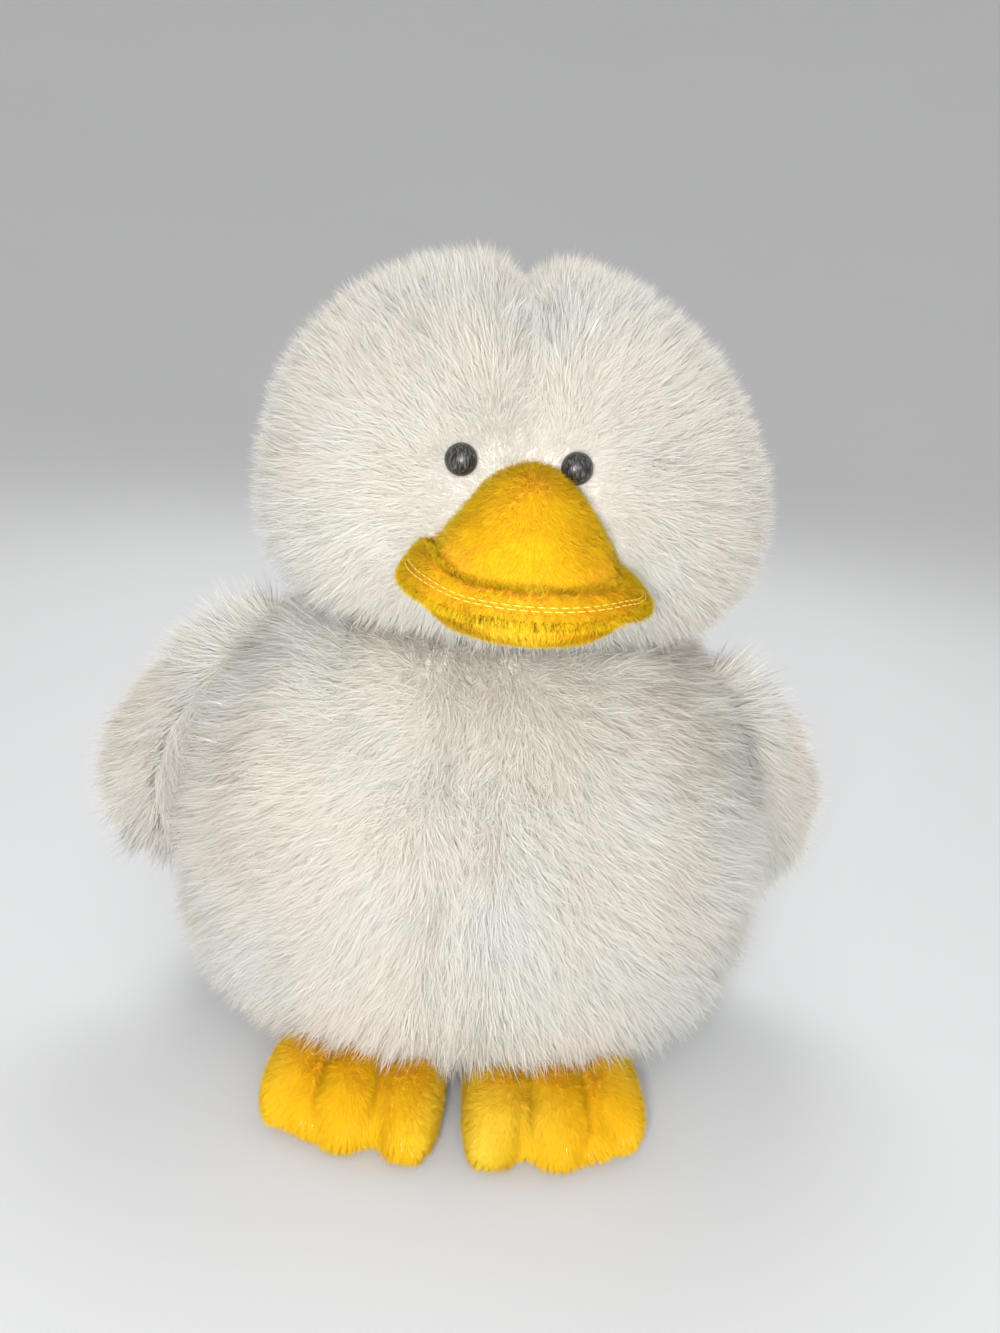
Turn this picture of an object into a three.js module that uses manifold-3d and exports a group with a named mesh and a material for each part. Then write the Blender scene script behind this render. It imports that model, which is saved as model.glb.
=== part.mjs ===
// A sitting duck of white long-pile plush, with a yellow bill and feet of short-pile plush.
// Each skin is an open bag of plush, as thick as its backing and pile together, and its stuffing is a separate
// solid inside it. The head bag and the torso bag are sewn to each other round the neck.
// Lengths are millimetres. +Z is up, the duck faces -Y, and its own left is +X.
// The origin is the middle of the flat that it sits on.

import * as THREE from 'three';
import { mergeVertices } from 'three/addons/utils/BufferGeometryUtils.js';
import Module from 'manifold-3d';

const wasm = await Module();
wasm.setup();

// Plush and sewing
const seamGap = 0.3; // between two pieces that touch
const sittingFlat = 0.5; // depth of the flats on what the duck sits on
const whitePile = 8;
const whiteBacking = 1;
const whiteSkin = whitePile + whiteBacking;
const yellowSkin = 2.6;
const overrun = 30; // how far a cutting block runs past what it cuts

// Torso: a full pear
const torsoHalfWidth = 86;
const torsoHalfDepth = 69;
const torsoWaistHeight = 38; // where it is widest
const torsoRise = 112; // from the waist to where its sides would close
const torsoUpFullness = 2;
const torsoDownFullness = 3;
const frontCreaseDepth = 3;
const frontCreaseWidth = 7;
const neckHeight = 125;

// Head: wide, with full cheeks and a parting over the crown
const headHalfWidth = 68;
const headHalfDepth = 56;
const headCheekAboveNeck = 31; // where the head is widest
const headCheekHeight = neckHeight + headCheekAboveNeck;
const headRise = 61;
const headDrop = 42;
const headUpFullness = 2;
const headDownFullness = 2.6;
const crownCreaseDepth = 4.5;
const crownCreaseWidth = 8;
const headLeanShare = 0.08; // how far its crown leans to the duck's right, by its height above the cheeks
const headAside = 5; // how far it sits to the duck's left of the torso's middle
const headTurn = THREE.MathUtils.degToRad(4);

// Eyes: domed buttons on a shank, held by a lock washer inside the head
const eyeRadius = 3.6;
const eyeDome = 2.9;
const eyeRim = 0.8;
const eyeSpread = 13.6; // from the middle of the pair
const eyesAside = -3; // of the pair, to the duck's left of the face's middle
const eyeAboveBill = 24; // over the seam of the bill's lip
const eyeLookOut = THREE.MathUtils.degToRad(16);
const eyeLookUp = THREE.MathUtils.degToRad(8);
const eyeSocketRadius = 6.5;
const eyeSocketDepth = 4.6;
const shankRadius = 1.5;
const shankPastWasher = 2.5;
const washerRadius = 5.5;
const washerThickness = 1.2;

// Upper bill: a steep dome on a broad lip that turns up round its edge
const billBelowCheeks = 10; // of the lip's seam
const billHeight = headCheekHeight - billBelowCheeks;
const billHalfWidth = 28;
const billReach = 31; // from the face to the front of the lip
const billRoot = 24; // how far its plan runs back into the face
const billDomeHalfWidth = 20.5;
const billDomeReach = 21;
const billPastEyes = 1.7; // how far the dome's root runs up past the middle of the eyes
const billDomeSideFullness = 1.75;
const billDomeFrontFullness = 1.6;
const billLipRise = 3.4;
const billDomeRise = eyeAboveBill + billPastEyes - billLipRise;
const billLipRoll = 2.4;
const billLipRollShare = 0.84; // of the plan, where the roll is highest
const billLipRollWidthShare = 0.11;
const billUnderside = 3;
const billSink = 5; // how deep the bill is set in the pile of the face
const billFillingHalfWidth = 13;
const billFillingReach = 17;
const billFillingRise = 13;
const billFillingAboveSeam = 2;
const billFillingHeight = billHeight + billFillingAboveSeam;

// Lower bill: a flat pad under the upper one
const jawHalfWidth = 22;
const jawReach = 26;
const jawThickness = 7;

// Wings: leaves of two plush panels back to back, sewn to the torso's sides along a rolled seam
const wingHalfWidth = 27.5;
const wingHalfThickness = 11;
const wingRise = 61; // from its widest level up to its point
const wingDrop = 31;
const wingUpFullness = 1.5;
const wingDownFullness = 2.2;
const wingWidestDrop = 44; // below the middle of its seam
const wingSetIn = 6; // of its middle line, behind the seam
const wingSeamHeightRight = 110;
const wingSeamHeightLeft = 102;
const wingSeamLength = 34;
const wingSeamLower = 4; // of its roll, below the middle of the seam
const wingSeamRadius = 2;
const wingClearance = 1;
const wingSweepRight = THREE.MathUtils.degToRad(35);
const wingSweepLeft = THREE.MathUtils.degToRad(20);
const wingTrailRight = THREE.MathUtils.degToRad(1);
const wingTrailLeft = THREE.MathUtils.degToRad(17);
const wingForwardSweep = THREE.MathUtils.degToRad(-30); // as far as it swings forward
const wingBackPlay = THREE.MathUtils.degToRad(12); // from rest, as far as it swings back
const wingTrimSteps = 6; // poses over its swing at which it is trimmed to clear the torso

// Feet: three stuffed toes each, sewn under the belly along a rolled heel seam
const toeHalfWidth = 8.7;
const toeHalfLength = 22;
const toeRise = 11.5;
const toeThickHeight = 8.5; // where a toe is widest
const toeSpacing = 12.9;
const outerToeSetBack = 4.5; // of the outer toe's tip
const toeFan = THREE.MathUtils.degToRad(6);
const toeUpFullness = 2.3;
const toeDownFullness = 3;
const toePlanFullness = 3.2;
const instepHalfWidth = 20.5; // of the undivided part behind the toes
const instepHalfLength = 24;
const instepForward = 10.5; // of its middle, in front of the heel
const instepRise = 10;
const footSpread = 23.9; // from the middle of the pair
const feetAside = 2.3; // of the pair, to the duck's left of the torso's middle
const footTipPastBelly = 12; // in front of the belly
const footTipReach = torsoHalfDepth + footTipPastBelly; // in front of the origin
const footTurnOut = THREE.MathUtils.degToRad(6);
const heelSeamRadius = 2;
const heelSeamLength = 20;
const heelUnderBelly = 25.5; // of the heel seam, behind the belly's front
const heelReach = torsoHalfDepth - heelUnderBelly; // in front of the origin
const footClearance = 0.6; // from the torso, over its flex
const footFlexDown = THREE.MathUtils.degToRad(25);

// Tail: a stub, sewn on low at the back
const tailHalfWidth = 19;
const tailHalfThickness = 11.5;
const tailLength = 27;
const tailHeight = 52;
const tailSink = 8; // how far its root is set in past the torso's skin
const tailLift = THREE.MathUtils.degToRad(38);

// Ballast: a cloth pouch of plastic pellets on the floor of the torso
const pouchHalfWidth = 46;
const pouchHalfDepth = 36;
const pouchRise = 17;
const pouchWall = 0.8;
const pouchSlitLength = 24;
const pouchSlitWidth = 1;

const white = { color: 0xf1eee8, roughness: 0.95, metalness: 0 };
const yellow = { color: 0xf6b21a, roughness: 0.9, metalness: 0 };
const filling = { color: 0xfafafa, roughness: 1, metalness: 0 };
const black = { color: 0x0b0b0c, roughness: 0.12, metalness: 0 };
const nylon = { color: 0xe6e6e2, roughness: 0.5, metalness: 0 };
const pouchCloth = { color: 0xd8d4c8, roughness: 0.9, metalness: 0 };
const pelletPlastic = { color: 0xc9d3d6, roughness: 0.4, metalness: 0 };

// Solids and meshes

function solidFrom(geometry) {
  geometry.deleteAttribute('normal');
  geometry.deleteAttribute('uv');
  const merged = mergeVertices(geometry);
  return new wasm.Manifold(
    new wasm.Mesh({
      numProp: 3,
      vertProperties: merged.attributes.position.array,
      triVerts: merged.index.array,
    }),
  );
}

function addPiece(group, name, solid, look) {
  const { vertProperties, triVerts } = solid.getMesh();
  const geometry = new THREE.BufferGeometry();
  geometry.setAttribute('position', new THREE.BufferAttribute(vertProperties, 3));
  geometry.setIndex(new THREE.BufferAttribute(triVerts, 1));
  geometry.computeVertexNormals();
  const mesh = new THREE.Mesh(geometry, new THREE.MeshStandardMaterial(look));
  mesh.name = name;
  group.add(mesh);
}

// The matrix that carries a point from one group's frame to another's.
function between(from, to) {
  from.updateWorldMatrix(true, false);
  to.updateWorldMatrix(true, false);
  return to.matrixWorld.clone().invert().multiply(from.matrixWorld);
}

function block(width, depth, height, x, y, z) {
  return new THREE.BoxGeometry(width, depth, height).translate(x, y, z);
}

function rod(radius, length, sides) {
  return new THREE.CylinderGeometry(radius, radius, length, sides);
}

// Raises a share from -1 to 1 to a power that fills a curve out towards a square, the more so above 2.
function filledOut(share, fullness) {
  return Math.sign(share) * Math.abs(share) ** (2 / fullness);
}

// A stuffed bag: a ball whose upper and lower halves have their own reach and fullness. inset moves its whole
// surface inwards, and crease(x, y, z) says how far a seam draws a point in.
function stuffed(form, inset = 0, crease = () => 0) {
  const ball = new THREE.SphereGeometry(1, form.around, form.rings).rotateX(Math.PI / 2);
  const place = ball.attributes.position;
  for (let i = 0; i < place.count; i++) {
    const up = THREE.MathUtils.clamp(place.getZ(i), -1, 1);
    const out = Math.sqrt(1 - up * up);
    const fullness = up > 0 ? form.upFullness : form.downFullness;
    const reach = up > 0 ? form.rise : form.drop;
    const girth = filledOut(out, fullness);
    const across = out > 0 ? filledOut(place.getX(i) / Math.hypot(place.getX(i), place.getY(i)), form.planFullness) : 0;
    const along = out > 0 ? filledOut(place.getY(i) / Math.hypot(place.getX(i), place.getY(i)), form.planFullness) : 0;
    const point = new THREE.Vector3(
      (form.halfWidth - inset) * girth * across,
      (form.halfDepth - inset) * girth * along,
      (reach - inset) * filledOut(up, fullness),
    );
    point.setLength(point.length() - crease(point.x, point.y, point.z));
    point.x -= Math.max(0, point.z) * (form.leanShare ?? 0);
    place.setXYZ(i, point.x, point.y, point.z);
  }
  return ball;
}

// How far from its upright axis a stuffed form's side is, at this height above its widest level.
function girthAt(form, halfReach, height) {
  const [reach, fullness] = height > 0 ? [form.rise, form.upFullness] : [form.drop, form.downFullness];
  return halfReach * (1 - (Math.abs(height) / reach) ** fullness) ** (1 / fullness);
}

const duck = new THREE.Group();
duck.name = 'duck';

// Torso

const torsoForm = {
  halfWidth: torsoHalfWidth,
  halfDepth: torsoHalfDepth,
  rise: torsoRise,
  drop: torsoWaistHeight + sittingFlat,
  upFullness: torsoUpFullness,
  downFullness: torsoDownFullness,
  planFullness: 2,
  around: 32,
  rings: 18,
};
const torsoFillingForm = { ...torsoForm, around: 20, rings: 10 };

// The seam down the front draws the belly in, and fades towards the seat.
function torsoCrease(x, y, z) {
  const fade = Math.min(1, 1 + z / torsoWaistHeight);
  return y < 0 ? frontCreaseDepth * fade * Math.exp(-((x / frontCreaseWidth) ** 2)) : 0;
}

// The torso's outside, in a group's own frame, swelled by a gap for what is sewn against it.
function torsoOutside(group, swell) {
  return solidFrom(
    stuffed(torsoForm, -swell, torsoCrease)
      .translate(0, 0, torsoWaistHeight)
      .applyMatrix4(between(duck, group)),
  );
}

function torsoInside(form, inset) {
  return solidFrom(stuffed(form, inset).translate(0, 0, torsoWaistHeight));
}

function makeTorso() {
  const aboveNeck = solidFrom(
    block(
      torsoHalfWidth * 2 + overrun,
      torsoHalfDepth * 2 + overrun,
      torsoRise,
      0,
      0,
      neckHeight + torsoRise / 2,
    ),
  );
  const underSeat = solidFrom(
    block(torsoHalfWidth * 2, torsoHalfDepth * 2, overrun, 0, 0, -overrun / 2),
  );
  const skin = torsoOutside(duck, 0)
    .subtract(torsoInside(torsoFillingForm, whiteSkin))
    .subtract(aboveNeck)
    .subtract(underSeat);
  addPiece(duck, 'torso_skin', skin, white);

  const floorHeight = whiteSkin - sittingFlat;
  const pouchForm = {
    halfWidth: pouchHalfWidth,
    halfDepth: pouchHalfDepth,
    rise: pouchRise,
    drop: pouchRise,
    upFullness: 2.2,
    downFullness: 2.2,
    planFullness: 2.2,
    around: 20,
    rings: 8,
  };
  const pouchAt = (inset) => solidFrom(stuffed(pouchForm, inset).translate(0, 0, floorHeight + pouchRise / 2));
  const stuffing = torsoInside(torsoFillingForm, whiteSkin + seamGap)
    .subtract(pouchAt(-seamGap))
    .subtract(aboveNeck);
  addPiece(duck, 'torso_stuffing', stuffing, filling);

  const slit = solidFrom(
    block(pouchSlitLength, pouchSlitWidth, pouchRise, 0, 0, floorHeight + pouchRise * 1.5),
  );
  const pelletRoom = pouchAt(pouchWall).intersect(
    torsoInside(torsoFillingForm, whiteSkin + seamGap + pouchWall),
  );
  const pouch = pouchAt(0)
    .intersect(torsoInside(torsoFillingForm, whiteSkin + seamGap))
    .subtract(pelletRoom)
    .subtract(slit);
  addPiece(duck, 'pellet_pouch', pouch, pouchCloth);
  const pellets = pouchAt(pouchWall + seamGap).intersect(
    torsoInside(torsoFillingForm, whiteSkin + seamGap * 2 + pouchWall),
  );
  addPiece(duck, 'pellets', pellets, pelletPlastic);
}

// Head, turned a little on the neck

const head = new THREE.Group();
head.position.set(headAside, 0, headCheekHeight);
head.rotation.z = headTurn;
duck.add(head);

const headForm = {
  halfWidth: headHalfWidth,
  halfDepth: headHalfDepth,
  rise: headRise,
  drop: headDrop,
  upFullness: headUpFullness,
  downFullness: headDownFullness,
  planFullness: 2,
  leanShare: headLeanShare,
  around: 32,
  rings: 18,
};
const headFillingForm = { ...headForm, around: 20, rings: 10 };

// The parting runs from the bill up over the crown and fades behind it.
function crownCrease(x, y, z) {
  const fade = y < 0 ? 1 : Math.max(0, 1 - y / headHalfDepth);
  return z > 0 ? crownCreaseDepth * fade * Math.min(1, z / headRise) * Math.exp(-((x / crownCreaseWidth) ** 2)) : 0;
}

// How far in front of the head's axis its face is, at this place across it and this height.
function faceReach(x, z) {
  const girth = girthAt(headForm, 1, z);
  return headHalfDepth * Math.sqrt(girth ** 2 - (x / headHalfWidth) ** 2);
}

function makeEyeFrame(side) {
  const x = side * eyeSpread + eyesAside;
  const z = billHeight + eyeAboveBill - headCheekHeight;
  const frame = new THREE.Group();
  frame.position.set(x, -faceReach(x, z), z);
  frame.rotation.order = 'ZXY';
  frame.rotation.set(-eyeLookUp, 0, side * eyeLookOut);
  head.add(frame);
  return frame;
}

const eyeFrames = { left: makeEyeFrame(1), right: makeEyeFrame(-1) };
const eyeSeat = eyeSocketDepth; // of the eye's back, behind the pile's tips
const washerSeat = whiteSkin + seamGap;

// A cut along an eye's axis, in the head's frame, between two depths behind the pile's tips.
function eyeCut(frame, radius, fromDepth, toDepth) {
  const length = toDepth - fromDepth;
  return solidFrom(
    rod(radius, length, 12)
      .translate(0, (fromDepth + toDepth) / 2, 0)
      .applyMatrix4(between(frame, head)),
  );
}

function makeEye(frame, side) {
  const back = eyeSeat - seamGap;
  const profile = [
    new THREE.Vector2(0, -(back - eyeRim - eyeDome)),
    ...new THREE.EllipseCurve(0, -(back - eyeRim), eyeRadius, eyeDome, Math.PI / 2, 0, true).getPoints(5).slice(1),
    new THREE.Vector2(eyeRadius, -back),
    new THREE.Vector2(shankRadius, -back),
    new THREE.Vector2(shankRadius, -(washerSeat + washerThickness + shankPastWasher)),
    new THREE.Vector2(0, -(washerSeat + washerThickness + shankPastWasher)),
  ];
  const eye = new THREE.LatheGeometry(profile.reverse(), 16).rotateX(Math.PI);
  addPiece(frame, `eye_${side}`, solidFrom(eye), black);

  const hole = shankRadius + seamGap;
  const washer = new THREE.LatheGeometry(
    [
      new THREE.Vector2(hole, washerSeat),
      new THREE.Vector2(washerRadius, washerSeat),
      new THREE.Vector2(washerRadius, washerSeat + washerThickness),
      new THREE.Vector2(hole, washerSeat + washerThickness),
      new THREE.Vector2(hole, washerSeat),
    ],
    14,
  );
  addPiece(frame, `eye_washer_${side}`, solidFrom(washer), nylon);
}

// Upper bill: the ball's plan becomes the bill's plan, and its top the dome and the turned-up lip.
function billOutside(swell) {
  const ball = new THREE.SphereGeometry(1, 28, 16).rotateX(Math.PI / 2);
  const place = ball.attributes.position;
  const face = faceReach(0, billHeight - headCheekHeight);
  for (let i = 0; i < place.count; i++) {
    const plan = Math.min(1, Math.hypot(place.getX(i), place.getY(i)));
    const x = place.getX(i) * (billHalfWidth + swell);
    const reach = place.getY(i) < 0 ? billReach : billRoot;
    const y = place.getY(i) * (reach + swell);
    const aside = Math.abs(x / (billDomeHalfWidth + swell)) ** billDomeSideFullness;
    const ahead = Math.abs(Math.min(0, y) / (billDomeReach + swell)) ** billDomeFrontFullness;
    const dome = billDomeRise * Math.max(0, 1 - aside - ahead);
    const roll = billLipRoll * Math.exp(-(((plan - billLipRollShare) / billLipRollWidthShare) ** 2));
    const closing = Math.sqrt(Math.max(0, 1 - plan ** 6));
    const top = closing * (billLipRise + dome + roll + swell);
    const under = -closing * (billUnderside + swell);
    place.setXYZ(i, x, y - face, place.getZ(i) > 0 ? top : under);
  }
  return solidFrom(ball.translate(0, 0, billHeight - headCheekHeight));
}

function billFillingAt(inset) {
  const form = {
    halfWidth: billFillingHalfWidth,
    halfDepth: billFillingReach,
    rise: billFillingRise,
    drop: billUnderside,
    upFullness: 1.7,
    downFullness: 2,
    planFullness: 2,
    around: 16,
    rings: 8,
  };
  const face = faceReach(0, billFillingHeight - headCheekHeight);
  return solidFrom(stuffed(form, inset).translate(0, -face, billFillingHeight - headCheekHeight));
}

function makeBill(faceOutside) {
  let upper = billOutside(0).subtract(faceOutside(billSink - seamGap));
  for (const frame of Object.values(eyeFrames)) {
    upper = upper.subtract(eyeCut(frame, eyeRadius + seamGap, -overrun, whiteSkin));
  }
  addPiece(head, 'bill_upper', upper.subtract(billFillingAt(0)), yellow);
  addPiece(head, 'bill_stuffing', billFillingAt(seamGap).subtract(faceOutside(billSink - seamGap)), filling);

  const jawForm = {
    halfWidth: jawHalfWidth,
    halfDepth: jawReach,
    rise: jawThickness,
    drop: jawThickness,
    upFullness: 2.2,
    downFullness: 2.2,
    planFullness: 2.1,
    around: 24,
    rings: 10,
  };
  const face = faceReach(0, billHeight - headCheekHeight);
  const jaw = (inset) =>
    solidFrom(
      stuffed(jawForm, inset).translate(0, -face, billHeight - headCheekHeight - billUnderside - seamGap),
    );
  const lower = jaw(0).subtract(billOutside(seamGap)).subtract(faceOutside(billSink - seamGap));
  addPiece(head, 'bill_lower', lower, yellow);
  // What the bill is set in
  return billOutside(seamGap).add(jaw(-seamGap)).subtract(faceOutside(billSink));
}

function makeHead() {
  const outside = (inset) => solidFrom(stuffed(headForm, inset, crownCrease));
  const billSeat = makeBill(outside);
  const belowNeck = solidFrom(
    block(
      headHalfWidth * 2 + overrun,
      headHalfDepth * 2 + overrun,
      headDrop,
      0,
      0,
      neckHeight + seamGap - headCheekHeight - headDrop / 2,
    ),
  );
  let skin = outside(0)
    .subtract(solidFrom(stuffed(headFillingForm, whiteSkin)))
    .subtract(belowNeck)
    .subtract(billSeat);
  let stuffing = solidFrom(stuffed(headFillingForm, whiteSkin + seamGap)).subtract(belowNeck);
  for (const [side, frame] of Object.entries(eyeFrames)) {
    const washerBack = washerSeat + washerThickness + shankPastWasher + seamGap;
    skin = skin
      .subtract(eyeCut(frame, eyeSocketRadius, -overrun, eyeSeat))
      .subtract(eyeCut(frame, shankRadius + seamGap, 0, whiteSkin + overrun))
      .subtract(eyeCut(frame, washerRadius + seamGap, washerSeat - seamGap, whiteSkin + overrun / 2));
    stuffing = stuffing.subtract(eyeCut(frame, washerRadius + seamGap, 0, washerBack));
    makeEye(frame, side);
  }
  addPiece(head, 'head_skin', skin, white);
  addPiece(head, 'head_stuffing', stuffing, filling);
}

// Wings

function makeWing(side, name, seamHeight, sweep, trail) {
  const aboveWaist = seamHeight - torsoWaistHeight;
  const sideReach = girthAt(torsoForm, torsoHalfWidth, aboveWaist);
  // The torso's side is an ellipse, and the seam lies along its tangent.
  const slope = (torsoHalfWidth ** 2 * aboveWaist) / (torsoRise ** 2 * sideReach);
  const tilt = Math.atan(slope);
  const clear = wingSeamRadius + seamGap;

  const seam = new THREE.Group();
  seam.position.set(side * (sideReach + clear * Math.cos(tilt)), 0, seamHeight + clear * Math.sin(tilt));
  seam.rotation.y = -side * tilt;
  duck.add(seam);
  const swungTo = (angle) => {
    const swung = new THREE.Group();
    swung.rotation.z = side * angle;
    seam.add(swung);
    return swung;
  };

  const form = {
    halfWidth: wingHalfWidth,
    halfDepth: wingHalfThickness,
    rise: wingRise,
    drop: wingDrop,
    upFullness: wingUpFullness,
    downFullness: wingDownFullness,
    planFullness: 2.1,
    around: 20,
    rings: 14,
  };
  const leaf = solidFrom(
    stuffed(form)
      .translate(-side * wingSetIn, 0, -wingWidestDrop)
      .rotateX(trail),
  );
  const roll = solidFrom(
    rod(wingSeamRadius, wingSeamLength, 10)
      .rotateX(Math.PI / 2)
      .translate(0, 0, -wingSeamLower),
  );
  let wing = leaf;
  for (let step = 0; step <= wingTrimSteps; step++) {
    const angle = THREE.MathUtils.lerp(sweep + wingBackPlay, wingForwardSweep, step / wingTrimSteps);
    wing = wing.subtract(torsoOutside(swungTo(angle), wingClearance));
  }
  const swung = swungTo(sweep);
  wing = wing.add(roll).subtract(torsoOutside(swung, seamGap));
  addPiece(swung, name, wing, white);
}

// Feet

function makeFoot(side, name) {
  const foot = new THREE.Group();
  foot.position.set(side * footSpread + feetAside, -heelReach, 0);
  foot.rotation.z = side * footTurnOut;
  duck.add(foot);

  const form = {
    halfWidth: toeHalfWidth,
    halfDepth: toeHalfLength,
    rise: toeRise,
    drop: toeThickHeight + sittingFlat,
    upFullness: toeUpFullness,
    downFullness: toeDownFullness,
    planFullness: toePlanFullness,
    around: 14,
    rings: 9,
  };
  const instepForm = { ...form, halfWidth: instepHalfWidth, halfDepth: instepHalfLength, rise: instepRise };
  const tip = -(footTipReach - heelReach);
  const toes = (inset, around = form.around, rings = form.rings) => {
    let all = solidFrom(stuffed({ ...instepForm, around, rings }, inset).translate(0, -instepForward, toeThickHeight));
    for (const place of [-1, 0, 1]) {
      const toe = solidFrom(
        stuffed({ ...form, around, rings }, inset)
          .translate(0, tip + toeHalfLength + (place === side ? outerToeSetBack : 0), toeThickHeight)
          .rotateZ(place * toeFan)
          .translate(place * toeSpacing, 0, 0),
      );
      all = all.add(toe);
    }
    return all;
  };
  const underSole = solidFrom(block(overrun * 4, overrun * 4, overrun, 0, 0, -overrun / 2));
  const behindHeel = solidFrom(block(overrun * 4, overrun * 2, overrun * 2, 0, overrun, 0));
  const roll = solidFrom(rod(heelSeamRadius, heelSeamLength, 12).rotateZ(Math.PI / 2).translate(0, 0, heelSeamRadius));
  const flexed = new THREE.Group();
  flexed.position.z = heelSeamRadius;
  flexed.rotation.x = footFlexDown;
  foot.add(flexed);
  const torso = torsoOutside(foot, footClearance).add(
    torsoOutside(flexed, footClearance).translate([0, 0, heelSeamRadius]),
  );
  const skin = toes(0)
    .subtract(behindHeel)
    .subtract(toes(yellowSkin, 12, 7))
    .add(roll)
    .subtract(underSole)
    .subtract(torso);
  addPiece(foot, `${name}_skin`, skin, yellow);
  const stuffing = toes(yellowSkin + seamGap, 12, 7).subtract(behindHeel).subtract(torso).subtract(roll);
  addPiece(foot, `${name}_stuffing`, stuffing, filling);
}

// Tail

function makeTail() {
  const back = girthAt(torsoForm, torsoHalfDepth, tailHeight - torsoWaistHeight);
  const tail = new THREE.Group();
  tail.position.set(0, back - tailSink, tailHeight);
  tail.rotation.x = tailLift - Math.PI / 2;
  duck.add(tail);
  const form = {
    halfWidth: tailHalfWidth,
    halfDepth: tailHalfThickness,
    rise: tailLength + tailSink,
    drop: tailSink,
    upFullness: 1.6,
    downFullness: 2,
    planFullness: 2,
    around: 20,
    rings: 12,
  };
  addPiece(tail, 'tail', solidFrom(stuffed(form)).subtract(torsoOutside(tail, seamGap)), white);
}

makeTorso();
makeHead();
makeWing(1, 'wing_left', wingSeamHeightLeft, wingSweepLeft, wingTrailLeft);
makeWing(-1, 'wing_right', wingSeamHeightRight, wingSweepRight, wingTrailRight);
makeFoot(1, 'foot_left');
makeFoot(-1, 'foot_right');
makeTail();

duck.updateMatrixWorld(true);

export default duck;
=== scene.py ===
import math

import bpy
import numpy as np
from mathutils import Matrix, Vector


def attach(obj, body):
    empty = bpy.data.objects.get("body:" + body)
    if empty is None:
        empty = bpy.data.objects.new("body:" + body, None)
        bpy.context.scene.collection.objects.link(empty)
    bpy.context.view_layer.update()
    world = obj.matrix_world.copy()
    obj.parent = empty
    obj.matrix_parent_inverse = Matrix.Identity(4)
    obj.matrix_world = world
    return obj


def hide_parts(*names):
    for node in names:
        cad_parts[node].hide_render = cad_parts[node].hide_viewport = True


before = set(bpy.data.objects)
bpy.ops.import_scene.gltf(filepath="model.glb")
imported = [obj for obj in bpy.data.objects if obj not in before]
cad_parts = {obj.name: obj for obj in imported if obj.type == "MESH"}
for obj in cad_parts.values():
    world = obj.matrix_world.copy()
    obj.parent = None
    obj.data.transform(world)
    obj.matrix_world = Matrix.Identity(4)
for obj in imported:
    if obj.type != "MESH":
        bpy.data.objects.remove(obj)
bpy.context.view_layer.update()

# Camera: a phone held in front of the duck and a little above it, looking down, with the duck
# leaning slightly in the frame.
eye_point = Vector((0.005, -0.260, 0.200))
look_down = math.radians(20)
frame_roll = math.radians(4.8)
focal_pixels = 960
photo_height = 1333

camera_data = bpy.data.cameras.new("camera")
camera_data.sensor_width = 36
camera_data.lens = camera_data.sensor_width * focal_pixels / photo_height
camera_data.clip_start = 0.01
camera = bpy.data.objects.new("camera", camera_data)
bpy.context.scene.collection.objects.link(camera)
camera.matrix_world = (
    Matrix.Translation(eye_point)
    @ Matrix.Rotation(math.pi / 2 - look_down, 4, "X")
    @ Matrix.Rotation(frame_roll, 4, "Z")
)
bpy.context.scene.camera = camera
bpy.context.scene.view_settings.view_transform = "Standard"


# Studio: a pale floor of paper that turns up into a wall all round the duck. Soft boxes light it from the
# front and the back, with the phone's own small lamp and an even room.
def wire(tree, kind, sockets=None, **settings):
    """Adds a node with these settings and gives its outputs. sockets gives each input its value or its
    link."""
    node = tree.nodes.new(kind)
    for key, value in settings.items():
        setattr(node, key, value)
    for key, value in (sockets or {}).items():
        socket = node.inputs[key] if isinstance(key, int) else in_use(node.inputs, key)
        if isinstance(value, bpy.types.NodeSocket):
            tree.links.new(value, socket)
        else:
            socket.default_value = value
    return node.outputs


def in_use(sockets, name):
    """The one of several sockets of this name that the node's settings leave in use."""
    return next(socket for socket in sockets if socket.enabled and socket.name == name)


def new_material(name):
    """A material that has no nodes yet, and its node tree."""
    material = bpy.data.materials.new(name)
    material.use_nodes = True
    material.node_tree.nodes.clear()
    return material, material.node_tree


def new_object(name, points, faces, material=None, edges=()):
    mesh = bpy.data.meshes.new(name)
    mesh.from_pydata([tuple(p) for p in points], edges, faces)
    mesh.shade_smooth()
    made = bpy.data.objects.new(name, mesh)
    bpy.context.scene.collection.objects.link(made)
    if material:
        mesh.materials.append(material)
    return made


def lathed(middle, profile, turns):
    """Points and faces of a profile turned about Z, from a middle point at this height."""
    spokes = [(math.cos(2 * math.pi * i / turns), math.sin(2 * math.pi * i / turns)) for i in range(turns)]
    points = [(0, 0, middle)] + [(out * x, out * y, up) for out, up in profile for x, y in spokes]
    faces = [(0, 1 + i, 1 + (i + 1) % turns) for i in range(turns)]
    for k in range(len(profile) - 1):
        ring = [(1 + k * turns + i, 1 + k * turns + (i + 1) % turns) for i in range(turns)]
        faces += [(a, a + turns, b + turns, b) for a, b in ring]
    return points, faces


paper, paper_tree = new_material("studio_paper")
paper_fibre = wire(paper_tree, "ShaderNodeTexNoise", {"Scale": 9.0, "Detail": 3.0})
paper_colour = {"Factor": paper_fibre["Fac"], "A": (0.66, 0.67, 0.685, 1), "B": (0.69, 0.70, 0.715, 1)}
paper_colour = wire(paper_tree, "ShaderNodeMix", paper_colour, data_type="RGBA")
paper_looks = {"Base Color": in_use(paper_colour, "Result"), "Roughness": 0.9}
paper_shader = wire(paper_tree, "ShaderNodeBsdfPrincipled", paper_looks)
wire(paper_tree, "ShaderNodeOutputMaterial", {"Surface": paper_shader[0]})

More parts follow.
